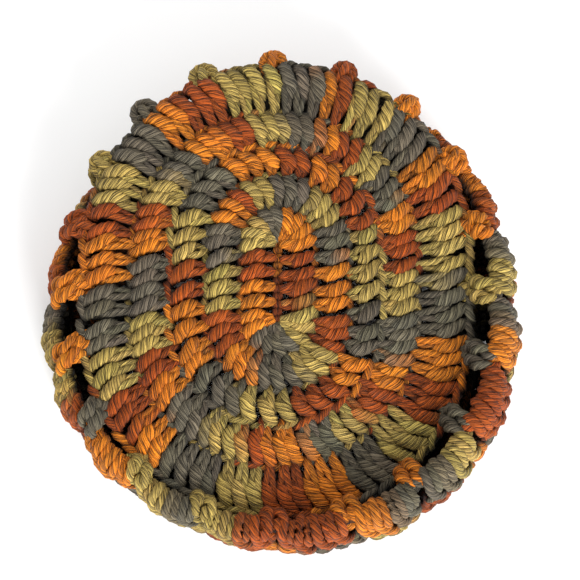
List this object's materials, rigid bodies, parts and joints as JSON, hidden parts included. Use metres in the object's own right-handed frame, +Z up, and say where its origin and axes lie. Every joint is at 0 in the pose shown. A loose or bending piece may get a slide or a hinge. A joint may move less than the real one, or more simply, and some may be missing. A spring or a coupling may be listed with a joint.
{
  "type": "crocheted beanie with an oval crown and an openwork round",
  "caption": "Crocheted beanie lying crown up: an oval crown worked in rounds, an openwork round of V stitches, shells and a turned-under brim.",
  "frame": {"origin": "on the surface that the beanie rests on, under the middle of the whole beanie", "axes": "+Z up through the crown, +Y towards the back of the crown's oval, +X to the right"},
  "size_m": [0.2132, 0.219, 0.0469],
  "materials": {
    "variegated_yarn": "matt"
  },
  "bodies": {
    "root": {"foundation_chain": "variegated_yarn", "crown_round_1": "variegated_yarn", "crown_round_2": "variegated_yarn", "crown_round_3": "variegated_yarn", "crown_round_4": "variegated_yarn", "crown_round_5": "variegated_yarn", "lace_mesh": "variegated_yarn", "lace_shells": "variegated_yarn", "side_round_1": "variegated_yarn", "side_round_2": "variegated_yarn", "brim_band": "variegated_yarn"}
  },
  "joints": []
}
